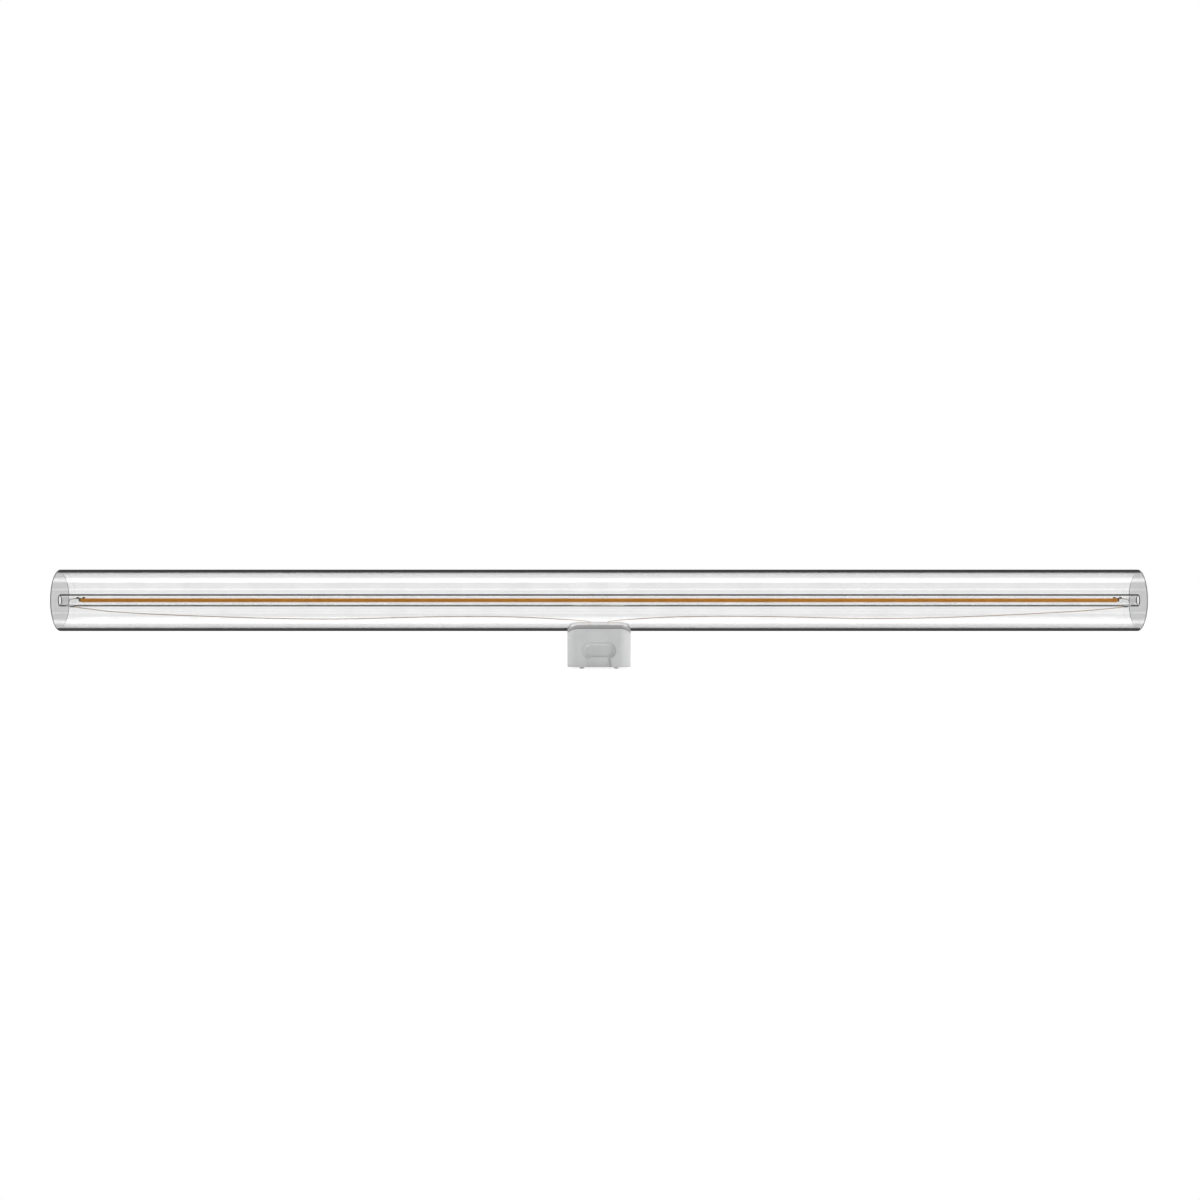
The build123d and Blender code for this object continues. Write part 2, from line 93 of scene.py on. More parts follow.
def cap_fan(first, columns, centre):
    """Triangles from one line of the grid to a single middle point, which closes an open end."""
    j = np.arange(columns)
    return np.stack([first + j, first + (j + 1) % columns, np.full(columns, centre)], -1)


def outward(mesh):
    """Turn every face outwards, and flip the whole if its signed volume comes out negative."""
    work = bmesh.new()
    work.from_mesh(mesh)
    bmesh.ops.recalc_face_normals(work, faces=work.faces)
    if work.calc_volume(signed=True) < 0:
        bmesh.ops.reverse_faces(work, faces=work.faces)
    work.to_mesh(mesh)
    work.free()


def make_mesh(name, points, face_sets):
    """A smooth mesh from an array of points and arrays of faces, with normals turned outwards."""
    faces = [list(map(int, face)) for face_set in face_sets for face in face_set]
    mesh = bpy.data.meshes.new(name)
    mesh.from_pydata(points.tolist(), [], faces)
    mesh.validate()
    outward(mesh)
    mesh.polygons.foreach_set("use_smooth", np.ones(len(mesh.polygons), bool))
    mesh.update()
    return mesh


def make_piece(name, points, face_sets, material, slot_name, *nodes):
    """A finished piece at the origin, which stands for the named solids of the frame."""
    piece = bpy.data.objects.new(name, make_mesh(name, points, face_sets))
    bpy.context.scene.collection.objects.link(piece)
    piece.data.materials.append(material)
    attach(piece, "root")
    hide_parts(*nodes)
    x, y, z = np.ptp(points, axis=0) / MM
    print(f"{name}: {len(piece.data.polygons)} faces, {x:.2f} x {y:.2f} x {z:.2f} mm")
    return piece


# %% [markdown]
# ## Colours and nodes
# A colour is written as it looks on a screen, and one function turns it to the linear values that
# a shader works with. One more function adds a node of any kind, so a finish reads as a list.

# %% Helpers for colours and nodes
def linear(code):
    """A hex colour to linear red, green, blue and full cover: each part p of 255 becomes
    p / 12.92 below 0.04045, and otherwise ((p + 0.055) / 1.055) to the power 2.4."""
    parts = [int(code[k:k + 2], 16) / 255 for k in (1, 3, 5)]
    return [p / 12.92 if p <= 0.04045 else ((p + 0.055) / 1.055) ** 2.4 for p in parts] + [1.0]


def add(tree, kind, settings=None, values=None, links=None, stops=()):
    """Add a node of this kind, with its settings, its sockets' values and what feeds its sockets:
    a socket, or a node, whose first output is meant. A ramp's stops are (place, hex colour), eased
    from one to the next, or (place, level), which run straight and may pass 1, as light does."""
    node = tree.nodes.new(kind)
    for key, value in (settings or {}).items():
        setattr(node, key, value)
    for key, value in (values or {}).items():
        node.inputs[key].default_value = value
    for key, source in (links or {}).items():
        tree.links.new(getattr(source, "outputs", [source])[0], node.inputs[key])
    if stops:
        ramp = node.color_ramp
        ramp.interpolation = "EASE" if isinstance(stops[0][1], str) else "LINEAR"
        while len(ramp.elements) < len(stops):
            ramp.elements.new(0.5)
        for element, (place, tone) in zip(ramp.elements, stops):
            element.position = place
            element.color = linear(tone) if isinstance(tone, str) else (tone, tone, tone, 1)
    return node


# %% [markdown]
# ## What all finishes share
# No real surface has one colour and one gloss all over. So each finish starts from a slow noise for
# its tint and a noise for its roughness, and most have a fine one for the relief. They lie in
# Object coordinates, so their sizes are real ones. Images would do it too, but they need files.

# %% A finish from two noises
NOISE_MIDDLE = (0.3, 0.7)


def finish(name, stops, rough, slow, fine=None, depth=0.0, rough_from_fine=False, **values):
    """A material with one Principled shader, whose own values come last. A noise is a dictionary:
    grain in metres from one feature to the next, detail, and where needed roughness and stretch.
    The slow noise runs the tint through its stops, and its middle part, or the fine one's, spreads
    the roughness over low to high. The last noise is a bump whose depth is in metres."""
    material = bpy.data.materials.new(name)
    material.use_nodes = True
    tree = material.node_tree
    tree.nodes.clear()
    own = {key.replace("_", " "): value for key, value in values.items()}
    shader = add(tree, "ShaderNodeBsdfPrincipled", values=own)
    add(tree, "ShaderNodeOutputMaterial", links={"Surface": shader})
    place = add(tree, "ShaderNodeTexCoord").outputs["Object"]
    waves = []
    for noise in filter(None, (slow, fine)):
        stretched = add(tree, "ShaderNodeMapping", links={"Vector": place},
                        values={"Scale": noise.get("stretch", (1, 1, 1))})
        waves.append(add(tree, "ShaderNodeTexNoise", links={"Vector": stretched},
                         values={"Scale": 1 / noise["grain"], "Detail": noise["detail"],
                                 "Roughness": noise.get("roughness", 0.5)}))
    tint = add(tree, "ShaderNodeValToRGB", links={"Fac": waves[0]}, stops=stops)
    gloss = add(tree, "ShaderNodeMapRange", links={"Value": waves[-1 if rough_from_fine else 0]},
                values={"From Min": NOISE_MIDDLE[0], "From Max": NOISE_MIDDLE[1],
                        "To Min": rough[0], "To Max": rough[1]})
    tree.links.new(tint.outputs["Color"], shader.inputs["Base Color"])
    tree.links.new(gloss.outputs["Result"], shader.inputs["Roughness"])
    if depth:
        relief = add(tree, "ShaderNodeBump", values={"Strength": 1.0, "Distance": depth},
                     links={"Height": waves[-1]})
        tree.links.new(relief.outputs["Normal"], shader.inputs["Normal"])
    return material


# %% [markdown]
# ## Clear drawn glass
# The tubes are drawn soda-lime glass, IOR 1.5. Drawing leaves it very smooth, with faint lines
# along its length. Within one wall's thickness of the outline, light turns back inside the wall,
# and the eye sees only the dark far side of the studio there. That alone draws the dark line round
# a tube, so the glass itself needs no dark paint, only a wall of its real thickness. A cut end is
# ground, and the fine scratches scatter the light, so it looks a dull grey.

# %% The glass finishes
HAZE = {"grain": 14 * MM, "detail": 3.0}
ALONG_TUBE = (0.02, 1.0, 1.0)
clear_glass = finish("clear_drawn_glass", [(0.3, "#fafafa"), (0.7, "#fdfdfd")], (0.0, 0.012), HAZE,
                     {"grain": 3 * MM, "detail": 1.0, "stretch": ALONG_TUBE}, 0.0004 * MM,
                     Transmission_Weight=1.0, IOR=1.5)
inner_glass = finish("inner_tube_glass", [(0.3, "#fdfdfd"), (0.7, "#ffffff")], (0.0, 0.012), HAZE,
                     {"grain": 1.2 * MM, "detail": 1.0, "stretch": ALONG_TUBE}, 0.0004 * MM,
                     Transmission_Weight=1.0, IOR=1.5)
ground_edge = finish("ground_glass_edge", [(0.3, "#4c4e4e"), (0.7, "#626464")], (0.35, 0.55),
                     {"grain": 0.2 * MM, "detail": 3.0}, depth=0.01 * MM,
                     Transmission_Weight=0.35, IOR=1.5)
print("glass:", clear_glass.name, inner_glass.name, ground_edge.name)


# %% Where each glass finish goes
def finish_glass(piece, end_x):
    """Faces beyond end_x from the middle take the ground edge. The light that falls on what the
    tube holds passes the glass unhindered, or the strip inside would be far too dark."""
    piece.data.materials.append(ground_edge)
    centres = np.empty(len(piece.data.polygons) * 3)
    piece.data.polygons.foreach_get("center", centres)
    at_end = (np.abs(centres[0::3]) > end_x).astype(np.int32)
    piece.data.polygons.foreach_set("material_index", at_end)
    piece.data.update()
    piece.visible_diffuse = False
    piece.visible_shadow = False
    print(piece.name, "ground faces:", int(at_end.sum()))


# %% [markdown]
# ## The two glass tubes
# A tube is one closed profile, out along the outside, round the rim, back along the inside and
# round the other rim, turned about the axis. The outer tube has a round feed hole underneath, and
# the inner tube a slot near each end. A Boolean would cut them, but it leaves long thin faces that
# show in glass. Here the grid's cells near a hole are left out, and rings of cells run from that
# rectangle to the hole's own outline. A support ring stands close behind each rim. Without it the
# rim's round would be shaded far into the long faces, and they would bend light like a prism.

# %% The tube's profile and its openings
SUPPORT = 0.3 * MM
RIM_STEPS = 5
NEARLY = 1e-9


def tube_profile(x_places, radius, wall, rim):
    """A closed profile: x and distance from the axis. A rim is a half turn made of two quarter
    circles of radius rim, joined by the flat end of the wall."""
    turn = np.linspace(0, np.pi / 2, RIM_STEPS)
    x_round = x_places[-1]
    out_x, out_r = x_round + rim * np.sin(turn), radius - rim + rim * np.cos(turn)
    in_x, in_r = x_round + rim * np.cos(turn), radius - wall + rim - rim * np.sin(turn)
    inside = x_places[::-1][1:-1]
    x = np.concatenate([x_places[:-1], out_x, in_x, inside, -in_x[::-1], -out_x[::-1][:-1]])
    r = np.concatenate([np.full(len(x_places) - 1, radius), out_r, in_r,
                        np.full(len(inside), radius - wall), in_r[::-1], out_r[::-1][:-1]])
    return x, r


def opening_reach(turn, half_length, half_width):
    """Distance from a slot's middle to its outline in the direction turn: to the straight side, or
    to the round end, whose circle of radius half_width is centred half_length - half_width away."""
    away = half_length - half_width
    c, s = np.abs(np.cos(turn)), np.maximum(np.abs(np.sin(turn)), NEARLY)
    side = half_width / s
    inside = np.maximum(half_width ** 2 - (away * s) ** 2, 0)
    end = away * c + np.sqrt(inside)
    return np.where(side * c <= away, side, end)


# %% A tube with openings in its lower wall
RING_SHARES = (0.35, 0.65, 0.85, 1.0)


def tube_with_openings(radius, wall, rim, around, openings, patch_angle, patch_reach, steps):
    """Points and faces of a tube about the axis. The angle is measured from the bottom, so a point
    is (x, r sin a, axis - r cos a). Each opening is (x, half length, half width), and lies in a
    patch of patch_reach and patch_angle on each side, which has this many steps along the tube."""
    end = HALF_LENGTH - rim
    edges = [-end, -end + SUPPORT]
    for x0, half_length, half_width in openings:
        edges += list(np.linspace(x0 - patch_reach, x0 + patch_reach, steps + 1))
    x, r = tube_profile(np.array(edges + [end - SUPPORT, end]), radius, wall, rim)
    rows, step = len(x), 2 * np.pi / around
    a, rr = np.meshgrid(step * np.arange(around), r)
    xx = np.repeat(x[:, None], around, axis=1)
    points = [np.stack([xx, rr * np.sin(a), AXIS_Z - rr * np.cos(a)], -1).reshape(-1, 3)]
    faces = grid_faces(rows, around, wrap_rows=True)
    half = int(round(patch_angle / step))
    column = np.arange(-half, half + 1)
    near = np.isin(np.arange(around), column[:-1] % around)
    keep = np.ones(len(faces), bool)
    count = rows * around
    extra = []
    for x0, half_length, half_width in openings:
        rings = []
        for skin in (radius, radius - wall):
            in_patch = (np.abs(x - x0) < patch_reach + NEARLY) & (np.abs(r - skin) < NEARLY)
            row = np.where(in_patch)[0]
            row = row[np.argsort(x[row])]
            cells = np.isin(np.arange(rows), row) & np.isin((np.arange(rows) + 1) % rows, row)
            keep &= ~(cells[:, None] & near[None, :]).reshape(-1)
            loop_row = np.concatenate([row[:-1], np.full(2 * half, row[-1]),
                                       row[::-1][:-1], np.full(2 * half, row[0])])
            loop_col = np.concatenate([np.full(len(row) - 1, -half), column[:-1],
                                       np.full(len(row) - 1, half), column[::-1][:-1]])
            edge_x, edge_a = x[loop_row] - x0, loop_col * step
            turn = np.arctan2(edge_a / (half * step), edge_x / patch_reach)
            reach = opening_reach(turn, half_length, half_width)
            hole_x, hole_a = reach * np.cos(turn), np.arcsin(reach * np.sin(turn) / skin)
            ring = loop_row * around + loop_col % around
            for share in RING_SHARES:
                ring_x = x0 + edge_x + share * (hole_x - edge_x)
                ring_a = edge_a + share * (hole_a - edge_a)
                points.append(np.stack([ring_x, skin * np.sin(ring_a),
                                        AXIS_Z - skin * np.cos(ring_a)], -1))
                new = count + np.arange(len(ring))
                count += len(ring)
                extra.append(np.stack([ring, np.roll(ring, -1), np.roll(new, -1), new], -1))
                ring = new
            rings.append(ring)
        outer, inner = rings
        extra.append(np.stack([outer, np.roll(outer, -1), np.roll(inner, -1), inner], -1))
    return np.concatenate(points), [faces[keep]] + extra


# %% The outer tube
TUBE_WALL = 1.3 * MM
FEED_HOLE = 5.0 * MM
points, faces = tube_with_openings(
    TUBE_RADIUS, TUBE_WALL, rim=0.35 * MM, around=192, openings=[(0.0, FEED_HOLE, FEED_HOLE)],
    patch_angle=math.radians(37.5), patch_reach=8 * MM, steps=24)
glass_tube = make_piece("glass_tube", points, faces, clear_glass, "clear_glass", "outer_tube")
finish_glass(glass_tube, HALF_LENGTH - 0.2 * MM)

# %% The inner tube
INNER_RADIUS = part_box("inner_tube")[1].y
INNER_WALL = 0.7 * MM
SLOT_X = HALF_LENGTH - 5.15 * MM
SLOT_HALF_LENGTH, SLOT_HALF_WIDTH = 1.75 * MM, 0.55 * MM
slots = [(x0, SLOT_HALF_LENGTH, SLOT_HALF_WIDTH) for x0 in (-SLOT_X, SLOT_X)]
points, faces = tube_with_openings(
    INNER_RADIUS, INNER_WALL, rim=0.12 * MM, around=96, openings=slots,
    patch_angle=math.radians(30), patch_reach=2.5 * MM, steps=16)
glass_inner_tube = make_piece("glass_inner_tube", points, faces, inner_glass, "clear_glass",
                              "inner_tube")
finish_glass(glass_inner_tube, HALF_LENGTH - 0.35 * MM)


# %% [markdown]
# ## End discs and their fillets of adhesive
# Clear flat discs close the tube, and a fillet of clear silicone lies in the corner behind each. A
# disc's two faces are parallel, so light goes straight on through it, and it is seen only by what
# its faces mirror, which is more the flatter the eye looks along them. That reflection is painted:
# a thin grey cover whose strength grows with a Layer Weight node, and a fainter one on the
# silicone.
# Real refraction would need the disc, the silicone and the glass joined into one body, or the small
# gaps between them show as bright and dark rings.

# %% Finishes for the discs and the silicone
def as_painted_reflection(material, reflection_stops, from_x=0.0):
    """Make a finish a thin cover that paints a reflection. Its strength runs through (turned away,
    share) stops, from 0 where it faces the eye to 1 where it is seen edge on. Nearer the middle
    than from_x it has none, so that a disc is covered once, on its outer face."""
    tree = material.node_tree
    place = tree.nodes["Texture Coordinate"].outputs["Object"]
    facing = add(tree, "ShaderNodeLayerWeight", values={"Blend": 0.5}).outputs["Facing"]
    cover = add(tree, "ShaderNodeValToRGB", links={"Fac": facing}, stops=reflection_stops)
    x = add(tree, "ShaderNodeSeparateXYZ", links={"Vector": place}).outputs["X"]
    away = add(tree, "ShaderNodeMath", {"operation": "ABSOLUTE"}, links={0: x})
    outside = add(tree, "ShaderNodeMath", {"operation": "GREATER_THAN"}, {1: from_x}, {0: away})
    held = add(tree, "ShaderNodeMath", {"operation": "MULTIPLY"}, links={0: cover, 1: outside})
    tree.links.new(held.outputs["Value"], tree.nodes["Principled BSDF"].inputs["Alpha"])
    return material


# The disc's grey cover is a painted reflection of the studio in its faces, strongest edge on.
clear_disc = as_painted_reflection(
    finish("end_disc_painted_reflection", [(0.3, "#5f6161"), (0.7, "#6b6d6d")], (0.03, 0.08),
           {"grain": 4 * MM, "detail": 3.0}, depth=0.002 * MM, IOR=1.49),
    [(0.0, 0.1), (0.5, 0.27), (0.7, 0.42), (0.85, 0.58), (1.0, 0.8)], HALF_LENGTH - 0.03 * MM)
# The silicone gets the same painted reflection, fainter and paler.
clear_adhesive = as_painted_reflection(
    finish("silicone_painted_reflection", [(0.3, "#c9cccc"), (0.7, "#dfe1e1")], (0.12, 0.25),
           {"grain": 2.5 * MM, "detail": 3.0}, depth=0.03 * MM, IOR=1.41),
    [(0.0, 0.01), (0.8, 0.02), (1.0, 0.08)])
print("covers:", clear_disc.name, clear_adhesive.name)


# %% A closed profile turned about the tube's axis
def turned(profile_x, profile_r, around):
    """A closed profile of x and distance from the axis, turned: (x, r cos a, axis + r sin a)."""
    angle = 2 * np.pi * np.arange(around) / around
    a, rr = np.meshgrid(angle, profile_r)
    xx = np.meshgrid(angle, profile_x)[1]
    points = np.stack([xx, rr * np.cos(a), AXIS_Z + rr * np.sin(a)], -1).reshape(-1, 3)
    return points, [grid_faces(len(profile_x), around, wrap_rows=True)]


def rounded_box_profile(x0, x1, r0, r1, rounding, steps=4):
    """The outline of a rectangle from x0 to x1 and r0 to r1, with each corner a quarter circle."""
    turn = np.linspace(0, np.pi / 2, steps + 1)
    middles = [(x1 - rounding, r1 - rounding), (x0 + rounding, r1 - rounding),
               (x0 + rounding, r0 + rounding), (x1 - rounding, r0 + rounding)]
    x = [mx + rounding * np.cos(turn + k * np.pi / 2) for k, (mx, mr) in enumerate(middles)]
    r = [mr + rounding * np.sin(turn + k * np.pi / 2) for k, (mx, mr) in enumerate(middles)]
    return np.concatenate(x), np.concatenate(r)


# %% The discs and the silicone behind them
DISC_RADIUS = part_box("end_disc_left")[1].y
DISC_HOLE = INNER_RADIUS + 0.05 * MM
DISC_ROUND = 0.12 * MM
DISC_AROUND = 160
FLAT_FACE = 0.999
for side, way in (("left", -1), ("right", 1)):
    low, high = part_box(f"end_disc_{side}")
    x, r = rounded_box_profile(low.x, high.x, DISC_HOLE, DISC_RADIUS, DISC_ROUND)
    points, faces = turned(x, r, DISC_AROUND)
    disc = make_piece(f"disc_{side}", points, faces, clear_disc, "clear_disc", f"end_disc_{side}")
    normals = np.empty(len(disc.data.polygons) * 3)
    disc.data.polygons.foreach_get("normal", normals)
    disc.data.polygons.foreach_set("use_smooth", np.abs(normals[0::3]) < FLAT_FACE)

    low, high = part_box(f"end_seal_{side}")
    at_disc, leg = (low.x if way < 0 else high.x), high.x - low.x
    turn = np.linspace(0, np.pi / 2, 9)
    hollow_x = at_disc - way * leg * (1 - np.sin(turn))
    hollow_r = DISC_RADIUS - leg * (1 - np.cos(turn))
    points, faces = turned(np.append(hollow_x, at_disc), np.append(hollow_r, DISC_RADIUS),
                           DISC_AROUND)
    make_piece(f"seal_{side}", points, faces, clear_adhesive, "clear_adhesive", f"end_seal_{side}")


# %% [markdown]
# ## The filament strip
# The light comes from a long thin metal strip with tiny dies, covered on both faces by silicone
# loaded with yellow-orange phosphor. The silicone is dispensed as a bead, so its section is rounded
# and swells and narrows a little along its length. The profile below is a rounded rectangle whose
# size wanders slowly, and its two ends close in a dome. The finish is soft and nearly matt, and
# mottled about every 2 mm, where the powder settled between the dies.

# %% The phosphor coat
phosphor = finish("phosphor_silicone", [(0.25, "#ca8327"), (0.5, "#d28b2a"), (0.75, "#d99332")],
                  (0.38, 0.55), {"grain": 2.0 * MM, "detail": 3.0},
                  {"grain": 0.25 * MM, "detail": 2.0}, 0.01 * MM, IOR=1.43)

COAT_CORNER = 0.5 * MM
END_DOME = 0.4 * MM
DOME_SMALLEST = 0.55
COAT_STEPS = 700
coat_low, coat_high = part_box("phosphor_coat")
half_y, half_z = (coat_high.y - coat_low.y) / 2, (coat_high.z - coat_low.z) / 2
coat_y, coat_z = rounded_box_profile(-half_y, half_y, -half_z, half_z, COAT_CORNER, 5)
dome = np.linspace(0, np.pi / 2, 6)[:-1]
along = np.concatenate([coat_low.x + END_DOME * (1 - np.cos(dome)),
                        np.linspace(coat_low.x + END_DOME, coat_high.x - END_DOME, COAT_STEPS),
                        coat_high.x - END_DOME * (1 - np.cos(dome[::-1]))])
closing = np.concatenate([np.sin(dome), np.ones(COAT_STEPS), np.sin(dome[::-1])])
closing = DOME_SMALLEST + (1 - DOME_SMALLEST) * closing
# The size wanders between 0.93 and 1 of the box, in waves about 14, 69 and 232 mm long.
swell = (0.965 + 0.02 * np.sin(along / (2.3 * MM)) * np.sin(along / (11 * MM))
         + 0.015 * np.sin(along / (37 * MM)))
scale = closing * swell
points = np.stack([np.repeat(along, len(coat_y)), np.outer(scale, coat_y).ravel(),
                   AXIS_Z + np.outer(scale, coat_z).ravel()], -1)
middles = np.array([[along[0], 0, AXIS_Z], [along[-1], 0, AXIS_Z]])
rows, columns = len(along), len(coat_y)
faces = [grid_faces(rows, columns), cap_fan(0, columns, rows * columns),
         cap_fan((rows - 1) * columns, columns, rows * columns + 1)]
make_piece("phosphor_strip", np.concatenate([points, middles]), faces, phosphor, "phosphor",
           "phosphor_coat")


# %% [markdown]
# ## Round wires
# The lamp has thin round wires: a curled lead at each end of the strip, and a long copper wire that
# bows from each bead down into the cap. Each is a circle carried along a smooth line. The line is a
# quadratic B-spline: it runs through the middle of each span between the control points and is
# tangent to the spans, like thin wire bent over a finger.

# %% Wires along a smooth line
def smooth_line(controls, per_span):
    """Points of a quadratic B-spline: between two span middles a and b with control c, the point at
    t is (1 - t)^2 a + 2 t (1 - t) c + t^2 b. It starts and ends at the outermost controls."""
    controls = np.asarray(controls, float)
    middles = (controls[1:] + controls[:-1]) / 2
    starts = np.concatenate([controls[:1], middles[1:]])[: len(controls) - 2]
    ends = np.concatenate([middles[1:-1], controls[-1:]])
    a, b, c = starts[:, None], ends[:, None], controls[1:-1][:, None]
    t = np.linspace(0, 1, per_span, endpoint=False)[None, :, None]
    line = (1 - t) ** 2 * a + 2 * t * (1 - t) * c + t ** 2 * b
    return np.concatenate([line.reshape(-1, 3), controls[-1:]])


def wire_surface(line, radius, sides):
    """A circle of this radius carried along a line in the XZ plane. The circle is spanned by Y and
    by the direction square to the line, and both ends close in a flat disc with a middle point."""
    tangent = np.gradient(line, axis=0)
    tangent /= np.linalg.norm(tangent, axis=1)[:, None]
    across = np.stack([-tangent[:, 2], np.zeros(len(line)), tangent[:, 0]], -1)
    angle = 2 * np.pi * np.arange(sides) / sides
    ring = (np.cos(angle)[None, :, None] * across[:, None]
            + np.sin(angle)[None, :, None] * np.array([0.0, 1.0, 0.0]))
    points = (line[:, None] + radius * ring).reshape(-1, 3)
    count = len(points)
    faces = [grid_faces(len(line), sides), cap_fan(0, sides, count),
             cap_fan(count - sides, sides, count + 1)]
    return np.concatenate([points, line[:1], line[-1:]]), faces


# %% [markdown]
# ## The metals of the wires and clips
# The long wires are drawn copper with a thin tinned skin: fine lines along them, and a paler
# stretch near the bead, where they were dipped. The strip's own metal is thin plated steel, its
# clips and leads are bronze, and their welds are stained dark by heat. A metal mirrors in its own
# colour, so that colour, its patches and the roughness are all that tells one from another.

# %% Metal finishes
copper_wire = finish("tinned_copper_wire", [(0.3, "#efcbab"), (0.7, "#f6e0c8")], (0.4, 0.6),
                     {"grain": 5 * MM, "detail": 2.0, "stretch": (0.4, 1.0, 1.0)},
                     {"grain": 0.15 * MM, "detail": 2.0, "stretch": (0.1, 1.0, 1.0)}, 0.004 * MM,
                     rough_from_fine=True, Metallic=1.0)

DIP_FROM, DIP_FULL = 212 * MM, 238 * MM


def dip_ends(material, dipped_code):
    """Blend a finish into the dipped colour between two distances from the lamp's middle. Of the
    mix node's many sockets, 6 and 7 take the two colours, and output 2 gives the mixed one."""
    tree = material.node_tree
    base = tree.nodes["Principled BSDF"].inputs["Base Color"]
    place = tree.nodes["Texture Coordinate"].outputs["Object"]
    x = add(tree, "ShaderNodeSeparateXYZ", links={"Vector": place}).outputs["X"]
    away = add(tree, "ShaderNodeMath", {"operation": "ABSOLUTE"}, links={0: x})
    dipped = add(tree, "ShaderNodeMapRange", values={"From Min": DIP_FROM, "From Max": DIP_FULL},
                 links={"Value": away})
    mixed = add(tree, "ShaderNodeMix", {"data_type": "RGBA"}, {7: linear(dipped_code)},
                {0: dipped, 6: base.links[0].from_socket})
    tree.links.new(mixed.outputs[2], base)


def stamped_metal(name, stained, middle, bare):
    """Thin stamped sheet with brushed lines along the lamp, in colours from stain to plate."""
    return finish(name, [(0.3, stained), (0.55, middle), (0.8, bare)], (0.35, 0.55),
                  {"grain": 0.8 * MM, "detail": 3.0},
                  {"grain": 0.1 * MM, "detail": 1.0, "stretch": (0.15, 1.0, 1.0)}, 0.003 * MM,
                  Metallic=1.0)


dip_ends(copper_wire, "#f3dcb2")
strip_metal = stamped_metal("plated_strip_steel", "#6f6a5c", "#8f8a7c", "#a7a397")
weld_metal = stamped_metal("heat_stained_steel", "#3b3620", "#57502f", "#7b7450")
lead_metal = stamped_metal("bronze_lead", "#7a5433", "#926a45", "#a98058")
print("metals:", copper_wire.name, strip_metal.name, weld_metal.name, lead_metal.name)

# %% The feed wires
# A bow is given as (share of the run from the cap to the bead, share of the bow's depth).
ENTRY_X = 4.2 * MM
ENTRY_DEPTH = 9.75 * MM
ENTRY_BEND = 1.5 * MM
BOW_DEPTH = 9.0 * MM
BOWS = {
    "left": ((0.97, 0.456), (0.93, 0.589), (0.85, 0.717), (0.745, 0.828), (0.62, 0.939),
             (0.49, 0.983), (0.37, 0.889), (0.24, 0.817), (0.125, 0.867), (0.045, 0.994)),
    "right": ((0.97, 0.444), (0.92, 0.55), (0.835, 0.678), (0.73, 0.817), (0.61, 0.922),
              (0.49, 0.95), (0.36, 0.861), (0.235, 0.811), (0.125, 0.85), (0.045, 0.972)),
}
WIRE_RADIUS = 0.175 * MM
WIRE_REST_GAP = 0.03 * MM


def feed_wire(side, way):
    """The long wire: from the bead along its bow to the entry, and straight down into the cap."""
    low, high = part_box(f"feed_wire_{side}")
    start_x = max(abs(low.x), abs(high.x))
    controls = [(way * start_x, 0, AXIS_Z - INNER_RADIUS - WIRE_RADIUS - WIRE_REST_GAP)]
    for run, depth in BOWS[side]:
        controls.append((way * (ENTRY_X + run * (start_x - ENTRY_X)), 0,
                         AXIS_Z - depth * BOW_DEPTH))
    corner_z = AXIS_Z - ENTRY_DEPTH
    controls += [(way * (ENTRY_X + ENTRY_BEND), 0, corner_z + 0.12 * MM),
                 (way * ENTRY_X, 0, corner_z), (way * ENTRY_X, 0, corner_z - ENTRY_BEND),
                 (way * ENTRY_X, 0, low.z)]
    points, faces = wire_surface(smooth_line(controls, 14), WIRE_RADIUS, 14)
    make_piece(f"copper_wire_{side}", points, faces, copper_wire, "copper_wire",
               f"feed_wire_{side}")


# %% The curled leads
LEAD_RADIUS = 0.125 * MM


def curled_lead(side, way):
    """The short lead: from the clip along the strip's line, down its curl and back to the bead."""
    low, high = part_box(f"terminal_lead_{side}")
    bead_low, bead_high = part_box(f"wire_bead_{side}")
    inner_x, outer_x = sorted((abs(low.x), abs(high.x)))
    bead_x = max(abs(bead_low.x), abs(bead_high.x))
    drop_x = outer_x - LEAD_RADIUS
    top_z, foot_z = high.z - LEAD_RADIUS, low.z + LEAD_RADIUS
    controls = [(way * x, 0, z) for x, z in (
        (inner_x, top_z),
        (inner_x + 1.6 * MM, top_z - 0.02 * MM),
        (drop_x - 0.9 * MM, top_z - 0.25 * MM),
        (drop_x - 0.3 * MM, top_z - 1.0 * MM),
        (drop_x, AXIS_Z - 1.2 * MM),
        (drop_x, foot_z + 0.05 * MM),
        (bead_x + 0.03 * MM, foot_z + 0.1 * MM))]
    points, faces = wire_surface(smooth_line(controls, 10), LEAD_RADIUS, 12)
    make_piece(f"curled_lead_{side}", points, faces, lead_metal, "strip_metal",
               f"terminal_lead_{side}")


# %% The wires of both ends
for side, way in (("left", -1), ("right", 1)):
    feed_wire(side, way)
    curled_lead(side, way)


# %% [markdown]
# ## The dark beads
# Where the lead meets the copper wire, a drop of dark sealing compound fills the slot: almost
# black, glossy, with dust and tiny pits. A drop has no edges: below it is a superellipsoid, a
# sphere whose powers are raised so it stands squarer.

# %% The beads
dark_bead = finish("dark_sealing_compound", [(0.35, "#0b0a07"), (0.7, "#1a1913")], (0.25, 0.45),
                   {"grain": 0.3 * MM, "detail": 3.0}, depth=0.015 * MM, IOR=1.5)


def raised(values, power):
    """Each value keeps its sign, and its size is raised to the power."""
    return np.sign(values) * np.abs(values) ** power


